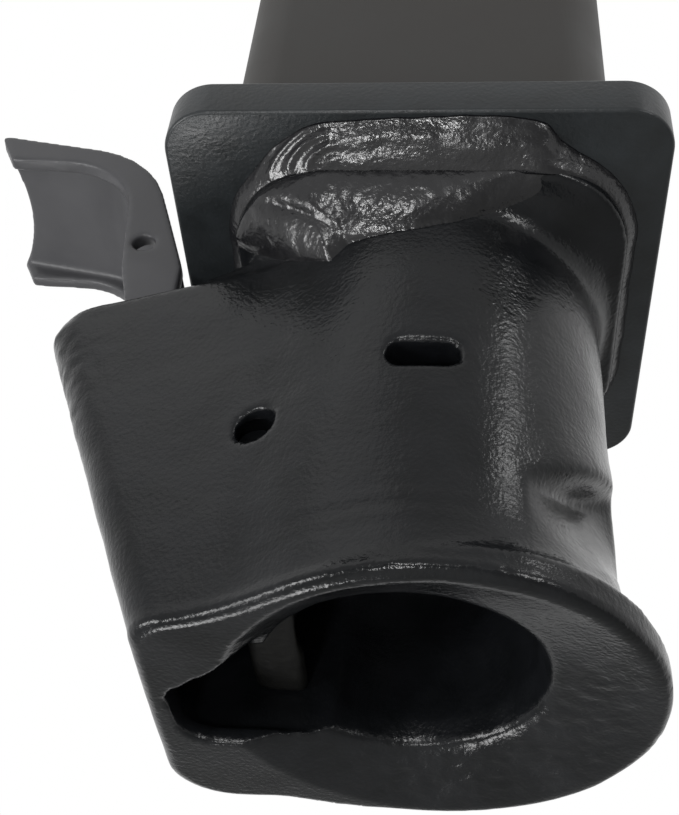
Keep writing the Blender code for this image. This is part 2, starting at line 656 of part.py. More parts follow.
def jaw_outline():
    """Side view of the jaw: hook under the ball, eye on the pin, tail for the lock dog."""
    px, pz = JAW_PIN
    top = height(TAIL_TOP_DEPTH)
    end_x, end_z = arc(0, BALL_Z, HOOK_INNER_R, HOOK_END_ANGLE, HOOK_END_ANGLE, 1)[0]
    foot_angle = 180.0 + math.degrees(math.asin((BALL_Z - end_z + HOOK_FOOT - 1.0) / HOOK_OUTER_R))
    hook_outer = arc(0, BALL_Z, HOOK_OUTER_R, 187, foot_angle, 5)
    hook_end = [(hook_outer[-1][0] + 4.0, end_z - HOOK_FOOT), (end_x - 1.0, end_z - HOOK_FOOT)]
    hook_inner = arc(0, BALL_Z, HOOK_INNER_R, HOOK_END_ANGLE, 165, 5)
    eye_right = arc(px, pz, EYE_R, -12, 46, 5)
    tail = [(px + TAIL_RIGHT, pz + EYE_R), (px + TAIL_RIGHT, top - 2.0), (px + TAIL_RIGHT - 2.0, top),
            (px + TAIL_LEFT + 2.0, top), (px + TAIL_LEFT, top - 2.0), (px + TAIL_LEFT, pz + EYE_R - 1)]
    eye_left = arc(px, pz, EYE_R, 128, 228, 8)
    return hook_outer + hook_end + hook_inner + eye_right + tail + eye_left


def make_jaw(finish, axis):
    half = JAW_SLOT_WIDTH / 2 - RUN_CLEARANCE
    bm = prism(jaw_outline(), JAW_Y - half, JAW_Y + half)
    rims = [e for e in bm.edges if abs(e.verts[0].co.y - e.verts[1].co.y) < 0.1]
    bmesh.ops.bevel(bm, geom=rims, offset=0.8, segments=1, affect="EDGES")
    jaw = add_object("latch_jaw", bm, finish, axis)
    ball = bmesh.new()
    bmesh.ops.create_uvsphere(ball, u_segments=56, v_segments=28, radius=BALL_CLEAR_R)
    bmesh.ops.translate(ball, vec=(0, 0, BALL_Z), verts=ball.verts)
    combine(jaw, add_object("cut_ball", ball, None, axis), "DIFFERENCE")
    bore = rod_y(*JAW_PIN, JAW_PIN_R + CLEARANCE, JAW_Y - 40, JAW_Y + 40, 28)
    combine(jaw, add_object("cut_jaw_eye", bore, None, axis), "DIFFERENCE")
    return jaw


def lever_outline():
    """Side view of one cheek of the lever, from the tip along the inside to the hub and back."""
    base = PLATE_UNDERSIDE_Z
    lx, lz = LEVER_PIN
    tx, tz = TIE_PIN_X, height(TIE_PIN_DEPTH)
    corners = [LEVER_TIP, (HANDLE_LOW_X, base + HANDLE_LOW_RISE), (HANDLE_ROOT_X, base + HANDLE_ROOT_RISE),
               (NECK_LEFT_X, base + NECK_LEFT_RISE), (NECK_FOOT_X, base - NECK_FOOT_DROP),
               (lx - HUB_R, lz + 4.0), (lx - HUB_R, lz - HUB_R), (lx + 1.0, lz - HUB_R),
               (tx - 4.0, tz - TIE_EYE_R), (tx + TIE_EYE_R, tz - TIE_EYE_R), (tx + TIE_EYE_R, tz + TIE_EYE_R),
               (lx + HUB_R, lz + HUB_R - 3.0), (NECK_RIGHT_X, base - NECK_HEEL_DROP),
               (NECK_RIGHT_X, base + NECK_RIGHT_RISE), LEVER_BEND]
    radii = [1.2, 1.2, HANDLE_ROOT_R, NECK_LEFT_R, NECK_FOOT_R, 3.0, HUB_R - 0.8, 4.0, TIE_EYE_R - 3.5,
             TIE_EYE_R - 0.5, TIE_EYE_R - 0.5, 5.0, 5.0, NECK_RIGHT_R, LEVER_BEND_R]
    return rounded(corners, radii, 12.0)


def lever_web_outline():
    """The strip that joins the two cheeks along the outside of the bend."""
    tip, bend = Vector(LEVER_TIP), Vector(LEVER_BEND)
    foot = Vector((WEB_FOOT_X, PLATE_UNDERSIDE_Z + WEB_FOOT_RISE))
    handle = (bend - tip).normalized()
    neck = (foot - bend).normalized()
    tip += Vector((WEB_INSET, -WEB_INSET))
    bend += Vector((-WEB_INSET, -WEB_INSET))
    foot += Vector((-WEB_INSET, 0))
    inside_handle = Vector((handle.y, -handle.x)) * WEB
    inside_neck = Vector((neck.y, -neck.x)) * WEB
    half = handle.angle(neck) / 2
    inside_bend = bend + (inside_handle + inside_neck) / (2 * math.cos(half) ** 2)
    corners = [tip, bend, foot, foot + inside_neck, inside_bend, tip + inside_handle]
    return rounded(corners, [0.0, LEVER_BEND_R, 0.0, 0.0, LEVER_BEND_R - WEB, 0.0], 10.0)


def skew_handle(lever):
    """Lean the far side of the handle to the left, more so above the stop plate."""
    near = LEVER_Y - LEVER_WIDTH / 2
    bm = bmesh.new()
    bm.from_mesh(lever.data)
    bmesh.ops.triangulate(bm, faces=bm.faces)
    for vert in bm.verts:
        x, y, z = (vert.co + lever.parent.location) / MM
        share = (z - PLATE_UNDERSIDE_Z - SKEW_FROM) / (SKEW_FULL - SKEW_FROM)
        vert.co.x -= HANDLE_SKEW * max(y - near, 0.0) * min(max(share, 0.0), 1.0) * MM
    bm.to_mesh(lever.data)
    bm.free()


def make_lever(finish, axis):
    """Two cheeks and a web, joined into one bent channel with a scooped tip."""
    low, high = LEVER_Y - LEVER_WIDTH / 2, LEVER_Y + LEVER_WIDTH / 2
    cheek = lever_outline()
    lever = add_object("release_lever", prism(cheek, low, low + LEVER_PLATE), finish, axis)
    far = add_object("join_far_cheek", prism(cheek, high - LEVER_PLATE, high), None, axis)
    web = prism(lever_web_outline(), low + LEVER_PLATE / 2, high - LEVER_PLATE / 2)
    web = add_object("join_web", web, None, axis)
    half = LEVER_WIDTH / 2 - LEVER_PLATE
    scoop_r = (half ** 2 + SCOOP ** 2) / (2 * SCOOP)
    tip_x, tip_z = LEVER_TIP
    scoop = rod_z(tip_x - scoop_r + SCOOP + SCOOP_FROM, LEVER_Y, scoop_r, tip_z - SCOOP_REACH,
                  tip_z + SCOOP_REACH, 96)
    scoop = add_object("cut_scoop", scoop, None, axis)
    for piece in (lever, far, web):
        skew_handle(piece)
    skew_handle(scoop)
    combine(lever, far, "UNION")
    combine(lever, web, "UNION")
    combine(lever, scoop, "DIFFERENCE")
    holes = {"cut_lever_pivot": (*LEVER_PIN, LEVER_PIN_R + CLEARANCE),
             "cut_lever_tie": (*TIE_PIN, TIE_PIN_R + CLEARANCE),
             "cut_lock_hole": (LOCK_HOLE_X, PLATE_UNDERSIDE_Z + LOCK_HOLE_HEIGHT, LOCK_HOLE_R)}
    for name, (x, z, radius) in holes.items():
        bore = rod_y(x, z, radius, low - 5, high + 5)
        combine(lever, add_object(name, bore, None, axis), "DIFFERENCE")
    return lever


def dog_outline():
    """Side view of the lock dog: hub, arm over the jaw's tail, and tooth behind it."""
    lx, lz = LEVER_PIN
    tooth_left = JAW_PIN_X + TAIL_RIGHT + TOOTH_GAP
    tooth_right = tooth_left + TOOTH_WIDTH
    land = height(SPRING_LAND_DEPTH)
    tail_top = height(TAIL_TOP_DEPTH)
    corners = [(lx - HUB_R, lz - HUB_R), (lx + HUB_R - 0.5, lz - HUB_R), (TIE_PIN_X + 3, tail_top + 6.0),
               (JAW_PIN_X - 10.0, tail_top + 4.0), (tooth_left, tail_top + 1.4),
               (tooth_left, height(TOOTH_DEPTH)), (tooth_right, height(TOOTH_DEPTH)),
               (tooth_right, land - 4.5),
               (SPRING_X + SPRING_LAND, land), (SPRING_X - SPRING_LAND, land),
               (SPRING_X - SPRING_LAND - 2.5, land + 4.6), (lx + HUB_R, lz + HUB_R - 6.9),
               (lx + 5.0, lz + HUB_R), (lx - HUB_R, lz + HUB_R)]
    radii = [9.0, 3.0, 3.0, 3.0, 0.8, 1.2, 1.2, 1.5, 0.6, 0.6, 1.0, 2.0, 3.0, 9.0]
    return rounded(corners, radii, 18.0)


def make_dog(finish, axis):
    low, high = DOG_LOW, DOG_HIGH
    hub_high = LEVER_Y + LEVER_WIDTH / 2 - LEVER_PLATE - RUN_CLEARANCE
    dog = add_object("lock_dog", prism(dog_outline(), low, high), finish, axis)
    hub = rod_y(*LEVER_PIN, HUB_R - 0.5, high - 2.0, hub_high, 32)
    combine(dog, add_object("join_dog_hub", hub, None, axis), "UNION")
    tie = rod_y(*TIE_PIN, TIE_EYE_R - 1.0, high - 2.0, hub_high, 24)
    combine(dog, add_object("join_dog_tie", tie, None, axis), "UNION")
    land = height(SPRING_LAND_DEPTH)
    for name, y in SPRINGS.items():
        peg = rod_z(SPRING_X, y, SPRING_R - SPRING_WIRE_R - 0.8, land - 2, land + 4, 20)
        combine(dog, add_object("join_peg_" + name, peg, None, axis), "UNION")
    for name, x, z, radius in (("cut_dog_pivot", *LEVER_PIN, LEVER_PIN_R + CLEARANCE),
                               ("cut_dog_tie", *TIE_PIN, TIE_PIN_R + CLEARANCE)):
        bore = rod_y(x, z, radius, low - 5, hub_high + 5)
        combine(dog, add_object(name, bore, None, axis), "DIFFERENCE")
    return dog


def make_spring(name, y, finish):
    """A coil spring that presses the lock dog down behind the jaw's tail."""
    low = height(SPRING_LAND_DEPTH) + CLEARANCE + SPRING_WIRE_R
    high = height(SPRING_POCKET_TOP) - CLEARANCE - SPRING_WIRE_R
    curve = bpy.data.curves.new(name, "CURVE")
    curve.dimensions = "3D"
    curve.bevel_depth = SPRING_WIRE_R * MM
    curve.bevel_resolution = 1
    curve.use_fill_caps = True
    curve.materials.append(finish)
    per_turn = 18
    count = int(SPRING_TURNS * per_turn)
    spline = curve.splines.new("POLY")
    spline.points.add(count)
    closed = 0.9 * per_turn
    for i in range(count + 1):
        angle = 2 * math.pi * i / per_turn
        share = min(max((i - closed) / (count - 2 * closed), 0.0), 1.0)
        coil = 2.3 * SPRING_WIRE_R
        end_rise = coil * (min(i, closed) + max(i - count + closed, 0.0)) / per_turn
        z = low + end_rise + share * (high - low - 2 * coil * closed / per_turn)
        spline.points[i].co = ((SPRING_X + SPRING_R * math.cos(angle)) * MM,
                               (y + SPRING_R * math.sin(angle)) * MM, z * MM, 1.0)
    made = bpy.data.objects.new(name, curve)
    bpy.context.collection.objects.link(made)
    return made


def main():
    for old in list(bpy.data.objects):
        bpy.data.objects.remove(old, do_unlink=True)
    enamel = material("casting_enamel", "17181A", 0.32, 0.0)
    plate_paint = material("plate_enamel", "2A2D2E", 0.42, 0.0)
    tube_paint = material("tube_paint", "3B3A37", 0.55, 0.0)
    weld = material("weld_enamel", "1B1B1D", 0.28, 0.0)
    lever_paint = material("lever_steel", "4B4C4F", 0.45, 0.0)
    forged = material("latch_steel", "3F4042", 0.5, 0.6)
    bright = material("pin_steel", "8C8F93", 0.35, 1.0)
    spring_steel = material("spring_steel", "5A5C60", 0.4, 1.0)

    make_casting(enamel)
    make_plate(plate_paint)
    make_tube(tube_paint)
    bead("head_weld", BODY_X, FLANGE_WIDTH, FLANGE_CORNER, PLATE_UNDERSIDE_Z, -1, head_weld_leg, weld)
    bead("tube_weld", 0.0, TUBE_WIDTH, TUBE_CORNER, PLATE_UNDERSIDE_Z + PLATE_THICKNESS, 1,
         lambda out: TUBE_WELD_LEG, weld)
    make_fill_weld(weld)

    jaw_back = housing_back(JAW_PIN_DEPTH)
    lever_back = housing_back(LEVER_PIN_DEPTH)
    ring_room = RING_RECESS + RING_WIRE + 3 * CLEARANCE
    make_pin("jaw_pin", JAW_PIN, JAW_PIN_R, housing_front(JAW_PIN_X) + KNOCKOUT_LENGTH + CLEARANCE,
             jaw_back - ring_room, bright)
    make_pin("lever_pin", LEVER_PIN, LEVER_PIN_R, housing_front(LEVER_PIN_X) + BORE_WALL + CLEARANCE,
             lever_back - ring_room, bright)
    make_snap_ring("jaw_pin_ring", JAW_PIN, JAW_PIN_R, jaw_back, spring_steel)
    make_snap_ring("lever_pin_ring", LEVER_PIN, LEVER_PIN_R, lever_back, spring_steel)
    for name, y in SPRINGS.items():
        make_spring(name, y, spring_steel)

    jaw_axis = add_axis("jaw_axis", JAW_PIN[0], 0.0, JAW_PIN[1])
    lever_axis = add_axis("lever_axis", LEVER_PIN[0], 0.0, LEVER_PIN[1])
    make_jaw(forged, jaw_axis)
    make_lever(lever_paint, lever_axis)
    make_dog(forged, lever_axis)
    make_pin("dog_tie_pin", TIE_PIN, TIE_PIN_R, LEVER_Y - LEVER_WIDTH / 2,
             LEVER_Y + LEVER_WIDTH / 2, bright, lever_axis)


main()
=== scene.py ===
"""Looks of a gooseneck coupler: enamelled casting, welds, neck tube, latch and release lever.

Frame: metres, +Z up along the neck tube, -Y out of the face with the small slot.
Sizes in the functions below are in millimetres, and heights of the casting are depths below the stop plate.
"""

import math

import bmesh
import bpy
import numpy as np
from mathutils import Matrix, Vector, noise

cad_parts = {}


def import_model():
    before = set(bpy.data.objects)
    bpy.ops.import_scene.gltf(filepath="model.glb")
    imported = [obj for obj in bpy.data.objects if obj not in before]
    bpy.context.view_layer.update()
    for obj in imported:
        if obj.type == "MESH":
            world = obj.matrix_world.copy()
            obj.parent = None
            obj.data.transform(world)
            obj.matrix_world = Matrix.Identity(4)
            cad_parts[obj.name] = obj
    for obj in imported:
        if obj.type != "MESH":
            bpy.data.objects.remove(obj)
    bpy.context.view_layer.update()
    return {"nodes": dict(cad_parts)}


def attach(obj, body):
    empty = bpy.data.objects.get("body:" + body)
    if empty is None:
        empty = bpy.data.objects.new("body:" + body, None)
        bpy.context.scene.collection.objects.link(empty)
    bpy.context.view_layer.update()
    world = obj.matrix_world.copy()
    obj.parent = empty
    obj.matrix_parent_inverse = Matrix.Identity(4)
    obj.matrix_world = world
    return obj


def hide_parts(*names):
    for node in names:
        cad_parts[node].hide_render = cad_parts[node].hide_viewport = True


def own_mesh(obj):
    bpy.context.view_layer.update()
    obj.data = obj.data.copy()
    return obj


MM = 0.001
SEAT_DEPTH = 63.5

# The casting's own sizes, as in the part
CASTING_DEPTH = 124.0
BODY_X = 3.5
FLANGE_WIDTH = 101.6
FLANGE_CORNER = 27.0
FLANGE_HEIGHT = 7.0
FLANGE_FILLET = 10.0
BARREL_R = 44.5
RIM_X, RIM_Y, RIM_R = 7.4, 3.9, 50.8
RIM_HEIGHT = 4.0
RIM_SWELL = 4.5
RIM_SWELL_AT = -35.0
RIM_BEVEL = 1.6
FLARE_HEIGHT = 22.0
FUNNEL_DEPTH = 5.5
RIM_WIDTH = 3.0
LEDGE_START, LEDGE_END = -56.0, -5.0
LEDGE_DEPTH = 91.5
LEDGE_RISE = 0.4
LEDGE_INSET = 7.5
LEDGE_HEIGHT = 26.0
LEDGE_FACET = 4.0
LEDGE_SWELL = 1.4
HOUSING_TOP = 17.0
HOUSING_RAMP = 8.0
HOUSING_RAMP_X = -70.0
HOUSING_LEFT = -97.0
HOUSING_SHOULDER = 25.5
HOUSING_LEAN = 0.417
HOUSING_SHOULDER_R = 8.5
HOUSING_LIP = 3.0
HOUSING_FOOT_R = 1.8
HOUSING_FRONT_Y = -25.5
HOUSING_FRONT_SLOPE = -0.284
HOUSING_BACK_Y = 46.0
HOUSING_BACK_DRAFT = 4.0
HOUSING_KNEE_X = -32.0
HOUSING_CORNER = 10.0
HOUSING_BACK_CORNER = 14.0
BLEND = 9.0
BALL_Z = -26.97
SOCKET_R = 30.32
SOCKET_LEAD = 6.5
MOUTH_R = 31.02
MOUTH_X = 0.8
MOUTH_FILLET = 3.2
SLOT_WIDTH, SLOT_HEIGHT = 17.3, 8.0
SLOT_X, SLOT_DEPTH = 3.7, 62.5
LIP_DEPTH = 119.5
JAW_Y = 7.6
JAW_SLOT_WIDTH = 36.2
CHAMBER_MOUTH_X = -50.6
CHAMBER_LEFT = -85.3
CHAMBER_CORNER = 8.0
CHAMBER_CEILING = 19.0
LEVER_ROOM_CEILING = 17.4
LEVER_ROOM_FLOOR = 41.5
LEVER_Y, LEVER_WIDTH = 15.0, 53.0
RUN_CLEARANCE = 0.4
JAW_PIN = (-34.0, -9.5)
JAW_PIN_R = 5.5
KNOCKOUT_R, KNOCKOUT_LENGTH = 4.9, 6.5
LEVER_PIN = (-71.0, 36.5)
LEVER_PIN_R = 4.0
CLEARANCE = 0.3
SPRING_X = -36.5
SPRING_YS = (0.85, 17.85)
SPRING_R, SPRING_WIRE_R, SPRING_TURNS = 4.4, 1.0, 5
SPRING_LAND_DEPTH = 33.0
SPRING_POCKET_R = 6.2
SPRING_POCKET_TOP = 9.0
RING_WIRE = 1.2
RING_RECESS = 1.2

# Stop plate and neck tube
PLATE_WIDTH, PLATE_THICKNESS, PLATE_CORNER, PLATE_EDGE = 127.0, 12.7, 12.5, 1.0
TUBE_WIDTH, TUBE_WALL, TUBE_CORNER, TUBE_LENGTH = 101.6, 9.5, 14.0, 304.8
PIN_HOLE_R, PIN_HOLE_PITCH, PIN_HOLE_COUNT, PIN_HOLE_FIRST = 13.5, 50.8, 4, 100.0

VOXEL = 1.12               # mesh size of the fine casting, which keeps it under 200,000 triangles
SOFTENING = 0.5            # how far the softened skin draws back from an edge


def height(depth):
    """Height above the ball seat of a depth below the stop plate."""
    return SEAT_DEPTH - depth


def unit(value):
    """Hold a value between 0 and 1."""
    return min(max(value, 0.0), 1.0)


# Meshes

def mesh_object(name, bm, smooth_deg=180.0):
    """A bmesh in millimetres becomes an object in metres."""
    bmesh.ops.recalc_face_normals(bm, faces=bm.faces)
    bmesh.ops.scale(bm, vec=(MM, MM, MM), verts=bm.verts)
    mesh = bpy.data.meshes.new(name)
    bm.to_mesh(mesh)
    bm.free()
    mesh.shade_smooth()
    if smooth_deg < 180.0:
        mesh.set_sharp_from_angle(angle=math.radians(smooth_deg))
    made = bpy.data.objects.new(name, mesh)
    bpy.context.scene.collection.objects.link(made)
    return made


def loft(rings, closed_ends=True):
    """Skin between rings of equally many points."""
    bm = bmesh.new()
    made = [[bm.verts.new(point) for point in ring] for ring in rings]
    count = len(made[0])
    pairs = list(zip(made, made[1:]))
    if not closed_ends:
        pairs.append((made[-1], made[0]))
    for lower, upper in pairs:
        for i in range(count):
            j = (i + 1) % count
            bm.faces.new((lower[i], lower[j], upper[j], upper[i]))
    if closed_ends:
        bm.faces.new(made[0])
        bm.faces.new(made[-1])
    return bm


def prism_y(outline_xz, low, high):
    return loft([[(x, y, z) for x, z in outline_xz] for y in (low, high)])


def rod_y(x, z, radius, low, high, count=48):
    turns = [2 * math.pi * (i + 0.5) / count for i in range(count)]
    return prism_y([(x + radius * math.cos(a), z + radius * math.sin(a)) for a in turns], low, high)


def rounded(points, radii, step_deg=6.0):
    """Round the corners of a closed outline, each by its own radius."""
    made = []
    for i, (corner, radius) in enumerate(zip(points, radii)):
        corner = Vector(corner)
        if radius <= 0:
            made.append(tuple(corner))
            continue
        to_last = (Vector(points[i - 1]) - corner).normalized()
        to_next = (Vector(points[(i + 1) % len(points)]) - corner).normalized()
        half = to_last.angle(to_next) / 2
        centre = corner + (to_last + to_next).normalized() * (radius / math.sin(half))
        start = corner + to_last * (radius / math.tan(half)) - centre
        turn = math.pi - 2 * half
        side = 1 if to_last.x * to_next.y - to_last.y * to_next.x < 0 else -1
        steps = max(3, math.ceil(math.degrees(turn) / step_deg))
        for k in range(steps + 1):
            made.append(tuple(centre + Matrix.Rotation(side * turn * k / steps, 2) @ start))
    return made


def rounded_square(cx, cy, width, corner, step_deg=6.0):
    h = width / 2
    return rounded([(cx - h, cy - h), (cx + h, cy - h), (cx + h, cy + h), (cx - h, cy + h)],
                   [corner] * 4, step_deg)


# The casting's skin, as in the part but with closer sections

def reach_outline(outline, angles):
    """How far rays from the tube's axis run before they leave a convex outline."""
    a = np.array(outline)
    e = np.roll(a, -1, axis=0) - a
    d = np.stack([np.cos(angles), np.sin(angles)], 1)
    cross = d[:, :1] * e[:, 1] - d[:, 1:] * e[:, 0]
    cross = np.where(np.abs(cross) < 1e-12, 1e-12, cross)
    along = (a[:, 0] * e[:, 1] - a[:, 1] * e[:, 0]) / cross
    across = (a[:, 0] * d[:, 1:] - a[:, 1] * d[:, :1]) / cross
    valid = (along > 0) & (across >= -1e-9) & (across <= 1 + 1e-9)
    return np.where(valid, along, 0.0).max(1)


def reach_circle(cx, cy, radius, angles):
    along = cx * np.cos(angles) + cy * np.sin(angles)
    aside = cx * np.sin(angles) - cy * np.cos(angles)
    return along + np.sqrt(radius ** 2 - aside ** 2)


def quarter(share):
    share = np.clip(share, 0.0, 1.0)
    return 1 - np.sqrt(1 - share * share)


def housing_front(x):
    return HOUSING_FRONT_Y + HOUSING_FRONT_SLOPE * (x + 50.0)


def housing_back(depth):
    return HOUSING_BACK_Y + HOUSING_BACK_DRAFT * depth / CASTING_DEPTH


def flare_share(depth, angles):
    swell = np.maximum(np.cos(angles - math.radians(RIM_SWELL_AT)), 0.0) ** 2 * RIM_SWELL
    return quarter((depth - CASTING_DEPTH + RIM_HEIGHT + swell + FLARE_HEIGHT) / FLARE_HEIGHT)


def housing_outline(depth):
    barrel_left = BODY_X - BARREL_R
    if depth < HOUSING_TOP:
        share = (depth - HOUSING_TOP + HOUSING_RAMP) / HOUSING_RAMP
        left = barrel_left + (HOUSING_RAMP_X - barrel_left) * share
        inset = HOUSING_LIP
    else:
        bottom = HOUSING_FOOT_R * quarter(1 - (CASTING_DEPTH - depth) / HOUSING_FOOT_R)
        rise = max(HOUSING_SHOULDER - depth, 0.0)
        left = HOUSING_LEFT + HOUSING_LEAN * max(depth - HOUSING_SHOULDER, 0.0) + bottom
        left += HOUSING_SHOULDER_R - math.sqrt(HOUSING_SHOULDER_R ** 2 - rise ** 2)
        inset = HOUSING_LIP * quarter(1 - (depth - HOUSING_TOP) / HOUSING_LIP) + bottom
    back = housing_back(depth) - inset
    skin_back = BARREL_R + (RIM_Y + RIM_R - BARREL_R) * float(flare_share(depth, math.pi))
    corners = [(left, housing_front(left) + inset), (BODY_X, housing_front(BODY_X) + inset),
               (BODY_X, skin_back - 1.0), (max(HOUSING_KNEE_X, left + HOUSING_BACK_CORNER + 1), back),
               (left, back)]
    return rounded(corners, [HOUSING_CORNER, 0, 0, 0, HOUSING_BACK_CORNER])


def skin_radii(depth, angles):
    """Distance of the casting's skin from the tube's axis at a depth."""
    flange = rounded_square(BODY_X, 0.0, FLANGE_WIDTH, FLANGE_CORNER)
    barrel = reach_circle(BODY_X, 0.0, BARREL_R, angles)
    fillet = quarter(1 - (depth - FLANGE_HEIGHT) / FLANGE_FILLET)
    radius = barrel + fillet * (reach_outline(flange, angles) - barrel)
    bevel = RIM_BEVEL * quarter(1 - (CASTING_DEPTH - depth) / RIM_BEVEL)
    rim = reach_circle(RIM_X, RIM_Y, RIM_R, angles) - bevel
    radius = radius + flare_share(depth, angles) * (rim - barrel)
    if depth > HOUSING_TOP - HOUSING_RAMP:
        housing = reach_outline(housing_outline(depth), angles)
        near = np.maximum(BLEND - np.abs(radius - housing), 0.0) / BLEND
        side = np.clip((-np.cos(angles) + 0.06) / 0.4, 0.0, 1.0)
        radius = np.maximum(radius, housing) + near * near * BLEND / 4 * side * side * (3 - 2 * side)
    return radius


def bell(value, middle, width):
    return np.exp(-((value - middle) / width) ** 2)


def notch(depth, angles):
    """Below a slanting ledge the barrel's right side is sunk in, and above it the barrel swells."""
    degrees = np.degrees(angles)
    along = np.clip((degrees - LEDGE_START) / (LEDGE_END - LEDGE_START), 0.0, 1.0)
    ledge = LEDGE_DEPTH - LEDGE_RISE * (degrees - LEDGE_START)
    below = depth - ledge
    inside = np.sin(math.pi * along ** 1.3) ** 0.8
    facet = np.clip(below / LEDGE_FACET, 0.0, 1.0)
    fading = np.clip(1 - (below - LEDGE_FACET) / (LEDGE_HEIGHT - LEDGE_FACET), 0.0, 1.0)
    sunk = LEDGE_INSET * inside * facet * fading
    swell = LEDGE_SWELL * inside * np.exp(-(below / 9.0) ** 2) * np.clip(1 - below / 1.5, 0.0, 1.0)
    return swell - sunk


def sags(depth, angles):
    """Beads and bands that the wet enamel left along the front of the lip and the flare."""
    front = np.clip(-np.sin(angles + 0.25) * 1.6 - 0.5, 0.0, 1.0)
    flare = bell(np.degrees(angles), -95.0, 24.0)
    bead = 1.1 * bell(depth, CASTING_DEPTH - 2.2, 1.1)
    bands = 0.16 * np.cos((depth - 103.0) * 2 * math.pi / 5.0) * bell(depth, 106.0, 6.0)
    return front * bead + flare * bands


def skin_bmesh():
    angles = np.radians(np.concatenate([np.arange(-180, -140, 1.0), np.arange(-140, -62, 2.0),
                                        np.arange(-62, 20, 0.5), np.arange(20, 140, 2.0),
                                        np.arange(140, 180, 1.0)]))
    flare_top = CASTING_DEPTH - RIM_HEIGHT - FLARE_HEIGHT
    depths = np.unique(np.round(np.concatenate([
        [CLEARANCE], np.linspace(FLANGE_HEIGHT, HOUSING_TOP - 0.01, 12),
        HOUSING_TOP + HOUSING_LIP * np.array([0, 0.04, 0.12, 0.25, 0.4, 0.65, 1.0]),
        np.arange(21.0, 30.0, 0.75), np.arange(30.0, 60.0, 3.0), np.arange(60.0, flare_top, 0.8),
        np.arange(flare_top, CASTING_DEPTH - 3.2, 0.8),
        CASTING_DEPTH - 3.0 * np.array([1.0, 0.7, 0.45, 0.25, 0.12, 0.04, 0.0])]), 3))
    rings = []
    for depth in depths:
        radii = skin_radii(float(depth), angles) + notch(float(depth), angles) + sags(float(depth), angles)
        rings.append([(r * math.cos(a), r * math.sin(a), height(depth)) for r, a in zip(radii, angles)])
    return loft(rings)


def circle_at(cx, cy, radius, z, count=128):
    turns = [2 * math.pi * i / count for i in range(count)]
    return [(cx + radius * math.cos(a), cy + radius * math.sin(a), z) for a in turns]


def socket_bmesh():
    """Funnel, mouth, bore and domed roof with its flat seat."""
    mouth = height(CASTING_DEPTH - FUNNEL_DEPTH)
    rim_r = RIM_R - RIM_WIDTH
    slope = (rim_r - MOUTH_R) / FUNNEL_DEPTH
    rings = [circle_at(RIM_X, RIM_Y, rim_r + slope, height(CASTING_DEPTH) - 1.0),
             circle_at(RIM_X, RIM_Y, rim_r, height(CASTING_DEPTH))]
    fall = math.atan(1 / slope)
    for k in range(7):
        t = (math.pi / 2 - fall) * (1 - k / 6)
        r = MOUTH_R + MOUTH_FILLET * (1 - math.cos(t))
        z = mouth + MOUTH_FILLET * (0.725 - math.sin(t))
        rings.append(circle_at(MOUTH_X, 0.0, r, z))
    rings.append(circle_at(0.0, 0.0, SOCKET_R, mouth + SOCKET_LEAD))
    seat_angle = math.asin(-BALL_Z / SOCKET_R)
    for k in range(13):
        a = seat_angle * k / 12
        rings.append(circle_at(0.0, 0.0, SOCKET_R * math.cos(a), BALL_Z + SOCKET_R * math.sin(a)))
    return loft(rings)


def chamber_bmesh():
    points = [(-8.0, LIP_DEPTH), (CHAMBER_MOUTH_X, LIP_DEPTH), (-58.5, 102.0), (-73.0, 66.0),
              (-80.0, 48.0), (CHAMBER_LEFT, 36.0), (CHAMBER_LEFT, CHAMBER_CEILING),
              (-18.0, CHAMBER_CEILING), (-14.5, 30.0), (-14.5, 42.0), (-17.0, 48.0), (-20.5, 55.0),
              (-21.0, 60.0), (-21.0, 80.0), (-8.0, 80.0)]
    bm = prism_y([(x, height(d)) for x, d in points], JAW_Y - JAW_SLOT_WIDTH / 2, JAW_Y + JAW_SLOT_WIDTH / 2)
    left = [e for e in bm.edges
            if all(v.co.x <= CHAMBER_MOUTH_X + 0.1 for v in e.verts)
            and abs(e.verts[0].co.y - e.verts[1].co.y) < 0.1
            and all(v.co.z < height(CHAMBER_CEILING) - 1 or v.co.x < -85 for v in e.verts)
            and abs(e.verts[0].co.z - e.verts[1].co.z) > 1.0]
    bmesh.ops.bevel(bm, geom=left, offset=CHAMBER_CORNER, segments=6, profile=0.5,
                    affect="EDGES", clamp_overlap=True)
    return bm


def mouth_bmesh():
    outline = rounded([(-52.0, 2.0), (-27.0, -18.0), (-8.0, -18.0), (-8.0, 24.5), (-50.0, 22.5)],
                      [6.0, 0, 0, 0, 8.0])
    return loft([[(x, y, z) for x, y in outline]
                 for z in (height(CASTING_DEPTH) - 2, height(LIP_DEPTH) + 1)])


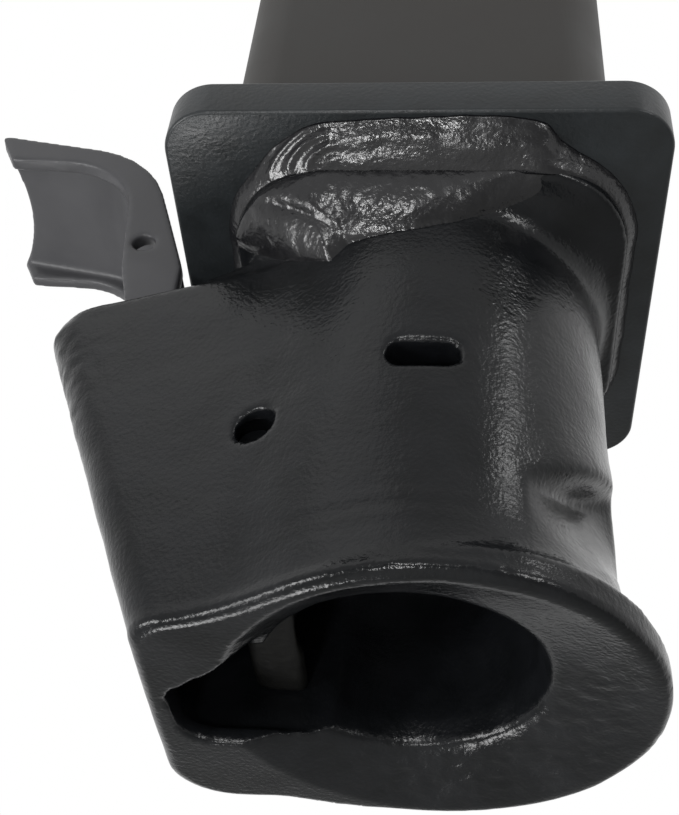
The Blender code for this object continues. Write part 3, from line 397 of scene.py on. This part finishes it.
def cast_cuts():
    """Everything that is cored or drilled out of the casting."""
    low, high = LEVER_Y - LEVER_WIDTH / 2 - RUN_CLEARANCE, LEVER_Y + LEVER_WIDTH / 2 + RUN_CLEARANCE
    floor, ceiling, above = height(LEVER_ROOM_FLOOR), height(LEVER_ROOM_CEILING), height(4.0)
    wide = [(CHAMBER_LEFT, height(36.0)), (CHAMBER_LEFT + 3.3, floor), (-49.0, floor), (-49.0, ceiling),
            (-60.5, ceiling), (-60.5, above), (CHAMBER_LEFT, above)]
    half, tall = SLOT_WIDTH / 2 - SOFTENING, SLOT_HEIGHT / 2 - SOFTENING
    slot_z = height(SLOT_DEPTH)
    slot = rounded([(SLOT_X - half, slot_z - tall), (SLOT_X + half, slot_z - tall),
                    (SLOT_X + half, slot_z + tall), (SLOT_X - half, slot_z + tall)], [tall * 0.7] * 4)
    bore_low = housing_front(JAW_PIN[0]) + KNOCKOUT_LENGTH
    cuts = {
        "cut_socket": socket_bmesh(),
        "cut_chamber": chamber_bmesh(),
        "cut_lever_room": prism_y(wide, low, high),
        "cut_slot": prism_y(slot, -BARREL_R - 10, -13.0),
        "cut_mouth": mouth_bmesh(),
        "cut_jaw_bore": rod_y(*JAW_PIN, JAW_PIN_R + CLEARANCE, bore_low - 3.0, 70.0),
        "cut_knockout": rod_y(*JAW_PIN, KNOCKOUT_R - 0.2, bore_low - 20, bore_low + 1),
        "cut_lever_bore": rod_y(*LEVER_PIN, LEVER_PIN_R + CLEARANCE, housing_front(LEVER_PIN[0]) + 3.0, 70.0),
    }
    for name, pin, radius in (("jaw", JAW_PIN, JAW_PIN_R), ("lever", LEVER_PIN, LEVER_PIN_R)):
        groove = housing_back(height(pin[1])) - RING_RECESS - RING_WIRE - 2 * CLEARANCE
        cuts[f"cut_{name}_groove"] = rod_y(*pin, radius + 2.2, groove, groove + RING_WIRE + 2 * CLEARANCE)
    for k, y in enumerate(SPRING_YS):
        low, high = height(CHAMBER_CEILING) - 2, height(SPRING_POCKET_TOP)
        cuts[f"cut_pocket_{k}"] = loft([circle_at(SPRING_X, y, SPRING_POCKET_R, z, 40) for z in (low, high)])
    return cuts


def apply_modifiers(obj):
    """Swap the object's mesh for what its modifiers make of it."""
    graph = bpy.context.evaluated_depsgraph_get()
    made = bpy.data.meshes.new_from_object(obj.evaluated_get(graph))
    obj.modifiers.clear()
    obj.data = made


def swelling(point, scale, seed):
    """Smooth noise from -1 to 1, with bumps about as wide as scale in millimetres."""
    return noise.noise((point + Vector((seed * 31.7, seed * 17.3, seed * 7.9))) / scale)


def roughen_casting(mesh):
    """Sand-cast unevenness, deeper and wrinkled on the housing's left edge where the mould parts."""
    normals = [v.normal.copy() for v in mesh.vertices]
    for vert, normal in zip(mesh.vertices, normals):
        p = vert.co / MM
        bore = max(0.0, 1.0 - math.hypot(p.x, p.y) / 40.0) if p.z > -58 else 0.0
        rise = 0.28 * swelling(p, 17.0, 1) + 0.06 * swelling(p, 6.0, 2)
        flow = Vector((p.x * 0.4, p.y * 0.4, p.z))
        rise += 0.03 * swelling(flow, 2.8, 3)
        edge = unit((-74.0 - p.x) / 14.0) * unit((6.0 - p.y) / 12.0)
        rise += edge * (0.25 * swelling(flow, 2.2, 4) + 0.20 * swelling(p, 3.2, 5))
        leather = unit((p.x + p.y - 22.0) / 20.0) * unit((-52.0 - p.z) / 3.0)
        leather *= unit((RIM_R - 4.5 - math.hypot(p.x - RIM_X, p.y - RIM_Y)) / 3.0)
        rise += leather * 0.30 * swelling(p, 2.6, 6)
        vert.co += normal * rise * MM * (1.0 - bore)
        vert.co.z = max(vert.co.z, height(CASTING_DEPTH) * MM)


def fine_casting():
    casting = mesh_object("enamelled_casting", skin_bmesh())
    cut_all(casting, [mesh_object(name, bm) for name, bm in cast_cuts().items()])
    remesh = casting.modifiers.new("cast_skin", "REMESH")
    remesh.mode = "VOXEL"
    remesh.voxel_size = VOXEL * MM
    soften = casting.modifiers.new("cast_edges", "SMOOTH")
    soften.factor = 0.5
    soften.iterations = 3
    apply_modifiers(casting)
    roughen_casting(casting.data)
    casting.data.shade_smooth()
    return casting


# Welds

# Front toe of the plate pass on the plate's underside: distance along X, and how far it stands off the flange
PLATE_PASS = [(-47.3, 3.0), (-43.7, 5.0), (-38.8, 7.6), (-33.2, 9.2), (-19.8, 9.8), (-8.4, 10.6), (8.9, 11.4),
              (23.3, 11.2), (31.0, 9.6), (34.4, 5.6), (39.0, 3.6), (54.3, 3.4)]


# The lower pass: its azimuths in degrees, and its depths below the plate
LOWER_FIRST, LOWER_MIDDLE, LOWER_LAST = 204.0, 260.0, 308.0
LOWER_TOP, LOWER_HEIGHT = 5.0, 26.0
LOWER_SKIN_R = 46.0        # turns azimuth into distance along the skin, which is 0 at the middle azimuth
LOWER_CROWN = 2.2
LOWER_RESTART = (-17.5, 15.2)          # middle of the dent where the pass was started again
# Foot of the lower pass on the casting: distance along the skin, and depth
LOWER_FOOT = [(-41.0, 7.5), (-35.4, 12.5), (-24.0, 21.7), (-14.0, 27.0), (-9.0, 23.0), (1.7, 22.0),
              (9.8, 20.8), (17.7, 18.6), (24.5, 14.6), (31.0, 10.8), (37.0, 7.6)]
WELD_FULLNESS = 0.6


def spread(table, at):
    """Straight-line reading of a short table of places and values."""
    return float(np.interp(at, [t[0] for t in table], [t[1] for t in table]))


def weld_profile(leg, drop, steps):
    """Section of a fillet weld, from its toe on the first face to its toe on the second."""
    made = []
    for k in range(steps + 1):
        t = k / steps
        bulge = 2 * t * (1 - t) * WELD_FULLNESS
        made.append((leg * ((1 - t) ** 2 + bulge), drop * (t ** 2 + bulge), t))
    return made


def stations(width, corner, centre_x, spacing):
    """Evenly spaced places round a rounded square, each with the way out of it."""
    outline = [Vector(p) for p in rounded_square(centre_x, 0.0, width, corner, 2.0)]
    made = []
    carry = 0.0
    for i, a in enumerate(outline):
        b = outline[(i + 1) % len(outline)]
        length = (b - a).length
        at = carry
        while at < length:
            made.append(a.lerp(b, at / length))
            at += spacing
        carry = at - length
    count = len(made)
    result = []
    for i, p in enumerate(made):
        along = made[(i + 3) % count] - made[i - 3]
        result.append((p, Vector((along.y, -along.x)).normalized(), i * spacing))
    return result


def bead_ripple(s, t, pitch, seed):
    """Height of the frozen ripples of a pass: crescents that bulge the way it was laid."""
    lag = 1.8 * (2 * t - 1) ** 2
    wander = 0.5 * noise.noise(Vector((s / 11.0, t * 2.0, seed)))
    return 0.5 + 0.5 * math.cos(2 * math.pi * ((s - lag) / pitch + wander))


def ring_weld(name, width, corner, centre_x, z, rise, leg_of, drop_of, ripple_of, spacing, steps):
    """A closed fillet weld round a square. Leg, drop and ripple are asked at each place."""
    rings = []
    for p, out, s in stations(width, corner, centre_x, spacing):
        leg, drop = leg_of(p, out, s), drop_of(p, out, s)
        ring = [(-0.6, -0.2)]
        for u, v, t in weld_profile(leg, drop, steps):
            lift = ripple_of(p, out, s, t) * math.sin(math.pi * min(max(t, 0.02), 0.98)) ** 0.5
            ring.append((u + lift * 0.72, v + lift * 0.69))
        ring.append((-0.6, drop))
        rings.append([(p.x + out.x * u, p.y + out.y * u, z + rise * v) for u, v in ring])
    return mesh_object(name, loft(rings, closed_ends=False))


def plate_pass():
    """The pass between flange and plate. Along the front it is wide, and its left end shows nested arcs."""
    def front(out):
        return max(-out.y, 0.0) ** 6

    def leg(p, out, s):
        side = 2.8 + 0.4 * noise.noise(Vector((s / 9.0, 0.0, 4.0)))
        wide = spread(PLATE_PASS, p.x) + 0.5 * noise.noise(Vector((s / 6.0, 3.0, 0.0)))
        return side + (wide - side) * front(out)

    def drop(p, out, s):
        return 3.6 + (3.9 + 0.4 * noise.noise(Vector((s / 9.0, 9.0, 0.0)))) * front(out)

    def ripple(p, out, s, t):
        plain_bead = 0.05 * bead_ripple(s, t, 2.3, 1.0)
        share = front(out)
        if share < 0.02:
            return plain_bead
        u = (1 - t) * spread(PLATE_PASS, p.x)
        reach = math.hypot((p.x + 16.0) / 2.0, u * 1.1 - 1.0)
        arcs = (0.5 + 0.5 * math.cos(2 * math.pi * reach / 2.5)) ** 2 - 0.3
        left = unit((-17.0 - p.x) / 10.0)
        streak = (0.30 * noise.noise(Vector((p.x / 18.0, t * 4.0, 2.0)))
                  + 0.08 * noise.noise(Vector((p.x / 4.0, t * 7.0, 5.0))))
        return plain_bead * (1 - share) + share * (arcs * left + streak * (1 - 0.7 * left))

    return ring_weld("plate_pass_weld", FLANGE_WIDTH, FLANGE_CORNER, BODY_X, SEAT_DEPTH, -1,
                     leg, drop, ripple, 0.6, 20)


def tube_pass():
    """The fillet weld between neck tube and plate, laid in short steps."""
    return ring_weld("tube_foot_weld", TUBE_WIDTH, TUBE_CORNER, 0.0, SEAT_DEPTH + PLATE_THICKNESS, 1,
                     lambda p, out, s: 7.2 + 0.6 * noise.noise(Vector((s / 12.0, 0.0, 7.0))),
                     lambda p, out, s: 5.9 + 0.5 * noise.noise(Vector((s / 10.0, 5.0, 0.0))),
                     lambda p, out, s, t: 0.30 * bead_ripple(s, t, 2.6, 6.0), 0.8, 14)


def lower_pass():
    """The second pass, which fills the hollow under the flange, with a dent where it was started again."""
    columns, rows = 160, 64
    first, last = math.radians(LOWER_FIRST), math.radians(LOWER_LAST)
    azimuths = np.array([first + (last - first) * i / columns for i in range(columns + 1)])
    depths = [LOWER_TOP + LOWER_HEIGHT * j / rows for j in range(rows + 1)]
    skins = np.array([skin_radii(depth, azimuths) for depth in depths])
    edge_radii = skin_radii(FLANGE_HEIGHT, azimuths)
    crease = FLANGE_HEIGHT - 0.5
    front, back = [], []
    for depth, radii in zip(depths, skins):
        for i, (a, radius) in enumerate(zip(azimuths, radii)):
            along = (a - math.radians(LOWER_MIDDLE)) * LOWER_SKIN_R
            p = Vector((along, depth, 0.0))
            foot = spread(LOWER_FOOT, along)
            foot_radius = float(np.interp(foot, depths, skins[:, i]))
            share = unit((depth - crease) / (foot - crease))
            ends = unit((along + 43.0) / 5.0) * unit((38.0 - along) / 9.0)
            crown = LOWER_CROWN * (4 * share * (1 - share)) ** 0.7
            fill = edge_radii[i] + (foot_radius - edge_radii[i]) * share + crown * ends
            u, v = along - LOWER_RESTART[0], depth - LOWER_RESTART[1]
            across, length = u * 0.64 - v * 0.77, u * 0.77 + v * 0.64
            later = unit(across / 1.2 + 0.5) * unit((4.0 - along) / 12.0)
            dent = 1.3 * math.exp(-(across / 0.9) ** 2) * unit(1 - (length / 10.5) ** 2)
            crests = 0.5 + 0.5 * math.cos(2 * math.pi * (along + 0.10 * (depth - 11.0) ** 2) / 3.4)
            grain = 0.22 * noise.noise(p / 3.0) + 0.10 * noise.noise(p / 1.3)
            edge = min(4 * share * (1 - share), 1.0) ** 0.5
            fill += edge * (0.9 * later - dent + 0.12 * crests + grain)
            surface = max(fill if 0.0 < share < 1.0 else 0.0, radius - 0.6)
            front.append((surface * math.cos(a), surface * math.sin(a), height(depth)))
            back.append(((radius - 1.8) * math.cos(a), (radius - 1.8) * math.sin(a), height(depth)))
    bm = bmesh.new()
    near = [bm.verts.new(p) for p in front]
    far = [bm.verts.new(p) for p in back]
    wide = columns + 1
    for j in range(rows):
        for i in range(columns):
            a, b, c, d = j * wide + i, j * wide + i + 1, (j + 1) * wide + i + 1, (j + 1) * wide + i
            bm.faces.new((near[a], near[b], near[c], near[d]))
            bm.faces.new((far[d], far[c], far[b], far[a]))
    edge = ([j * wide for j in range(rows + 1)] + [rows * wide + i for i in range(1, wide)]
            + [j * wide + columns for j in range(rows - 1, -1, -1)] + list(range(columns - 1, 0, -1)))
    for a, b in zip(edge, edge[1:] + edge[:1]):
        bm.faces.new((near[a], near[b], far[b], far[a]))
    return mesh_object("lower_pass_weld", bm)


def rework(node, voxel_mm, softenings):
    """Give a CAD piece the rounded edges and folds of a pressed or forged one."""
    join = node.modifiers.new("join_corners", "WELD")
    join.merge_threshold = 1e-6
    skin = node.modifiers.new("worked_skin", "REMESH")
    skin.mode = "VOXEL"
    skin.voxel_size = voxel_mm * MM
    skin.use_smooth_shade = True
    soften = node.modifiers.new("worked_edges", "SMOOTH")
    soften.factor = 0.5
    soften.iterations = softenings


def fine_plate():
    """The stop plate, flame cut and then ground along its edges."""
    rings = []
    low, high = SEAT_DEPTH, SEAT_DEPTH + PLATE_THICKNESS
    steps = [math.pi / 2 * k / 5 for k in range(6)]
    levels = [(PLATE_EDGE * (1 - math.sin(t)), low + PLATE_EDGE * (1 - math.cos(t))) for t in steps]
    levels += [(inset, low + high - z) for inset, z in reversed(levels)]
    for inset, z in levels:
        outline = rounded_square(0, 0, PLATE_WIDTH - 2 * inset, PLATE_CORNER - inset, 4.0)
        rings.append([(x, y, z) for x, y in outline])
    return mesh_object("ground_stop_plate", loft(rings), 35.0)


def fine_tube():
    """The neck tube, drawn square and sawn to length, with its row of pin holes through both faces."""
    foot = SEAT_DEPTH + PLATE_THICKNESS + CLEARANCE
    top = foot + TUBE_LENGTH
    inside = TUBE_WIDTH - 2 * TUBE_WALL
    outline = rounded_square(0, 0, TUBE_WIDTH, TUBE_CORNER, 4.0)
    hollow = rounded_square(0, 0, inside, TUBE_CORNER - TUBE_WALL, 10.0)
    tube = mesh_object("drawn_neck_tube", loft([[(x, y, z) for x, y in outline] for z in (foot, top)]), 35.0)
    tools = [mesh_object("cut_hollow", loft([[(x, y, z) for x, y in hollow] for z in (foot - 5, top + 5)]))]
    for k in range(PIN_HOLE_COUNT):
        z = SEAT_DEPTH + PLATE_THICKNESS + PIN_HOLE_FIRST + k * PIN_HOLE_PITCH
        tools.append(mesh_object(f"cut_pin_hole_{k}", rod_y(0, z, PIN_HOLE_R, -TUBE_WIDTH, TUBE_WIDTH, 72)))
    cut_all(tube, tools)
    tube.data.shade_smooth()
    tube.data.set_sharp_from_angle(angle=math.radians(35.0))
    return tube


def coil_spring(name, y):
    """A coil spring that presses the lock dog down, with its end turns laid close."""
    low = height(SPRING_LAND_DEPTH) + CLEARANCE + SPRING_WIRE_R
    high = height(SPRING_POCKET_TOP) - CLEARANCE - SPRING_WIRE_R
    end_turn = 2.3 * SPRING_WIRE_R
    middle = high - low - 2 * end_turn
    steps = 48
    rings = []
    for i in range(SPRING_TURNS * steps + 1):
        turns = i / steps
        z = low + end_turn * min(turns, 1.0) + end_turn * max(turns - SPRING_TURNS + 1, 0.0)
        z += middle * unit((turns - 1) / (SPRING_TURNS - 2))
        out = Vector((math.cos(2 * math.pi * turns), math.sin(2 * math.pi * turns), 0.0))
        centre = Vector((SPRING_X, y, z)) + out * SPRING_R
        rings.append([centre + (out * math.cos(a) + Vector((0, 0, 1)) * math.sin(a)) * SPRING_WIRE_R
                      for a in (math.pi * k / 6 for k in range(12))])
    return mesh_object(name, loft(rings), 60.0)


def cut_all(target, tools):
    for tool in tools:
        step = target.modifiers.new(tool.name, "BOOLEAN")
        step.operation = "DIFFERENCE"
        step.solver = "EXACT"
        step.object = tool
    apply_modifiers(target)
    for tool in tools:
        bpy.data.objects.remove(tool)


def stand_in(piece, node, finish):
    """A finer mesh takes the place of a CAD node on the head."""
    dress(piece, finish)
    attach(piece, "head")
    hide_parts(node)


# Materials

PAINT_IOR = 1.45


def linear(hex_colour):
    """sRGB hex to linear RGBA."""
    made = []
    for i in (0, 2, 4):
        c = int(hex_colour[i:i + 2], 16) / 255
        made.append(c / 12.92 if c <= 0.04045 else ((c + 0.055) / 1.055) ** 2.4)
    return (*made, 1.0)


def add(tree, kind, settings=None, **links):
    """Add one shader node. A link gives an input its source, a value its constant. i6 is input number 6."""
    made = tree.nodes.new(kind)
    for key, value in (settings or {}).items():
        setattr(made, key, value)
    for key, value in links.items():
        by_number = key[0] == "i" and key[1:].isdigit()
        socket = made.inputs[int(key[1:]) if by_number else key.replace("_", " ")]
        if isinstance(value, bpy.types.NodeSocket):
            tree.links.new(value, socket)
        else:
            socket.default_value = value
    return made


def plain(name, colour, roughness, metallic=0.0, gloss=0.5):
    made = bpy.data.materials.new(name)
    made.use_nodes = True
    shader = made.node_tree.nodes["Principled BSDF"]
    shader.inputs["Base Color"].default_value = linear(colour)
    shader.inputs["Roughness"].default_value = roughness
    shader.inputs["Metallic"].default_value = metallic
    if metallic == 0.0:
        shader.inputs["IOR"].default_value = PAINT_IOR
    shader.inputs["Specular IOR Level"].default_value = gloss
    return made


def textured(name, colours, rough, metallic, grain, gloss=0.5, patch_mm=14.0):
    """A finish whose colour and roughness drift between two values, with layers of fine relief.

    Each layer of grain is (spacing in mm, height in mm, stretch of the pattern along X, Y and Z).
    """
    made = plain(name, colours[0], rough[0], metallic, gloss=gloss)
    tree = made.node_tree
    shader = tree.nodes["Principled BSDF"]
    place = add(tree, "ShaderNodeTexCoord").outputs["Object"]
    drift = add(tree, "ShaderNodeTexNoise", Vector=place, Scale=1000.0 / patch_mm, Detail=5.0, Roughness=0.6)
    level = add(tree, "ShaderNodeMapRange", Value=drift.outputs["Fac"], From_Min=0.3, From_Max=0.7)
    shade = add(tree, "ShaderNodeMix", {"data_type": "RGBA"}, i0=level.outputs[0], i6=linear(colours[0]),
                i7=linear(colours[1]))
    tree.links.new(shade.outputs[2], shader.inputs["Base Color"])
    dulled = add(tree, "ShaderNodeMapRange", Value=drift.outputs["Fac"], From_Min=0.3, From_Max=0.7,
                 To_Min=rough[0], To_Max=rough[1])
    tree.links.new(dulled.outputs[0], shader.inputs["Roughness"])
    normal = None
    for k, (spacing, tall, stretch) in enumerate(grain):
        squeezed = add(tree, "ShaderNodeMapping", i0=place, i1=(0.013 * k, 0.0, 0.0), i3=stretch)
        relief = add(tree, "ShaderNodeTexNoise", Vector=squeezed.outputs[0], Scale=1000.0 / spacing,
                     Detail=2.0, Roughness=0.5)
        bump = add(tree, "ShaderNodeBump", Strength=1.0, Distance=tall * MM, Height=relief.outputs["Fac"])
        if normal:
            tree.links.new(normal, bump.inputs["Normal"])
        normal = bump.outputs[0]
    if normal:
        tree.links.new(normal, shader.inputs["Normal"])
    return made


def dress(node, finish):
    """Give a CAD node, or a piece, its finish."""
    node.data.materials.clear()
    node.data.materials.append(finish)


# Studio

FLOOR_Z = -0.80            # metres, low enough to leave room for the camera under the casting


def lamp(name, at, target, size, power):
    data = bpy.data.lights.new(name, "AREA")
    data.shape = "DISK"
    data.size = size
    data.energy = power
    made = bpy.data.objects.new(name, data)
    made.location = at
    made.rotation_euler = (Vector(target) - Vector(at)).to_track_quat("-Z", "Y").to_euler()
    made.visible_camera = False
    bpy.context.scene.collection.objects.link(made)


def studio():
    scene = bpy.context.scene
    scene.view_settings.view_transform = "Standard"
    world = bpy.data.worlds.new("white_sweep")
    scene.world = world
    world.use_nodes = True
    tree = world.node_tree
    tree.nodes.clear()
    path = add(tree, "ShaderNodeLightPath")
    seen = add(tree, "ShaderNodeMath", {"operation": "MAXIMUM"}, i0=path.outputs["Is Camera Ray"],
               i1=path.outputs["Is Glossy Ray"])
    seen = add(tree, "ShaderNodeMath", {"operation": "MAXIMUM"}, i0=seen.outputs[0],
               i1=path.outputs["Is Transmission Ray"])
    strength = add(tree, "ShaderNodeMapRange", Value=seen.outputs[0], To_Min=0.45, To_Max=1.0)
    sky = add(tree, "ShaderNodeBackground", Color=(1.0, 1.0, 1.0, 1.0), Strength=strength.outputs[0])
    add(tree, "ShaderNodeOutputWorld", Surface=sky.outputs[0])

    floor = bmesh.new()
    bmesh.ops.create_grid(floor, x_segments=1, y_segments=1, size=3000.0)
    floor = mesh_object("studio_floor", floor)
    floor.location = (0.0, 0.0, FLOOR_Z)
    dress(floor, plain("pale_floor", "F2F2F0", 0.7))

    lamp("overhead_lamp", (-0.10, -0.92, -0.20), (0, 0, 0.0), 0.12, 2.4)
    lamp("camera_lamp", (-0.16, -0.60, -0.60), (0, 0, 0.0), 0.10, 2.2)
    lamp("left_low_lamp", (-0.62, -0.36, -0.42), (0, 0, 0.03), 0.22, 3.4)
    lamp("left_far_lamp", (-0.76, -0.10, -0.46), (0, 0, 0.04), 0.24, 3.6)
    lamp("right_lamp", (0.62, -0.68, -0.10), (0, 0, 0.0), 0.15, 2.0)
    lamp("low_lamp", (-0.30, 0.26, -0.64), (0, 0, -0.06), 0.22, 2.6)
    lamp("left_softbox", (-0.55, -0.72, 0.80), (0, 0, 0.0), 0.7, 0.7)
    lamp("right_softbox", (0.75, -0.60, 0.70), (0, 0, 0.0), 0.18, 1.2)

    camera = bpy.data.objects.new("photo_camera", bpy.data.cameras.new("photo_camera"))
    camera.data.lens = 58.59
    camera.data.sensor_width = 36.0
    camera.data.clip_start = 0.01
    across = Vector((0.9956, 0.05886, 0.07291))
    up = Vector((-0.01439, -0.67286, 0.73963))
    ahead = Vector((-0.0926, 0.73742, 0.66905))
    turn = Matrix((across, up, -ahead)).transposed()
    camera.matrix_world = Matrix.Translation((0.012697, -0.253118, -0.205895)) @ turn.to_4x4()
    scene.collection.objects.link(camera)
    scene.camera = camera


def main():
    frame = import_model()
    nodes = frame["nodes"]

    even = (1.0, 1.0, 1.0)
    # Enamel dipped over a sand casting: gloss black, with the sand's grain showing through as orange peel
    enamel = textured("black_enamel_on_sand_casting", ("08090A", "0F1012"), (0.16, 0.28), 0.0,
                      [(2.4, 0.05, even), (1.1, 0.13, even)], 0.21)
    # Enamel over flame-cut plate: satin, with a fine orange peel
    plate_paint = textured("satin_enamel_on_plate", ("151718", "1D2022"), (0.30, 0.42), 0.0,
                           [(1.1, 0.10, even)], 0.30)
    # Thin matt paint over a drawn tube, with faint draw lines along it
    tube_paint = textured("matt_paint_on_drawn_tube", ("1A1917", "211F1D"), (0.48, 0.6), 0.0,
                          [(1.2, 0.03, (1.0, 1.0, 0.06))], 0.35, 40.0)
    # Enamel over weld metal: the glossiest, with a close grain of small pits
    weld_enamel = textured("black_enamel_on_weld", ("08080A", "101012"), (0.18, 0.30), 0.0,
                           [(1.2, 0.16, even), (2.4, 0.10, even)], 0.5, 8.0)
    # Satin coat over bent plate: smooth dark grey
    lever_paint = textured("satin_coat_on_bent_plate", ("2E2E30", "373739"), (0.38, 0.46), 0.0,
                           [(0.8, 0.010, even)], 0.35, 25.0)
    # Quenched forging: dull dark scale with pits, its colour darkened further as painted shade for the jaw's
    # place deep inside the mouth
    latch = textured("forging_scale_with_painted_shade", ("0A0A0A", "121211"), (0.35, 0.5), 0.0,
                     [(1.8, 0.12, even)], 0.1, 8.0)
    # Zinc plate on turned steel, dulled by handling
    pin = textured("dulled_zinc_on_turned_pin", ("7A7D81", "8E9194"), (0.3, 0.42), 1.0,
                   [(0.5, 0.01, (1.0, 0.1, 1.0))], 0.5, 5.0)
    # Oiled spring wire
    spring = textured("oiled_spring_wire", ("4C4E52", "606367"), (0.25, 0.36), 1.0,
                      [(0.6, 0.01, even)], 0.5, 5.0)

    stand_in(fine_casting(), "head_casting", enamel)
    stand_in(plate_pass(), "head_weld", weld_enamel)
    stand_in(lower_pass(), "fill_weld", weld_enamel)
    stand_in(tube_pass(), "tube_weld", weld_enamel)
    stand_in(fine_plate(), "stop_plate", plate_paint)
    stand_in(fine_tube(), "inner_tube", tube_paint)
    for name, finish in {"release_lever": lever_paint, "latch_jaw": latch, "lock_dog": latch, "jaw_pin": pin,
                         "lever_pin": pin, "dog_tie_pin": pin, "jaw_pin_ring": spring,
                         "lever_pin_ring": spring}.items():
        dress(nodes[name], finish)
    for end, y in zip(("front", "back"), SPRING_YS):
        coil = coil_spring(f"coiled_spring_{end}", y)
        stand_in(coil, f"lever_spring_{end}", spring)
        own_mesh(coil)
    dress(nodes["jaw_pin"], enamel)          # the jaw pin wears the casting's black enamel, which keeps its end inside the knock-out hole black
    rework(nodes["release_lever"], 0.8, 5)
    rework(nodes["latch_jaw"], 0.8, 4)
    rework(nodes["lock_dog"], 0.8, 4)
    studio()


main()
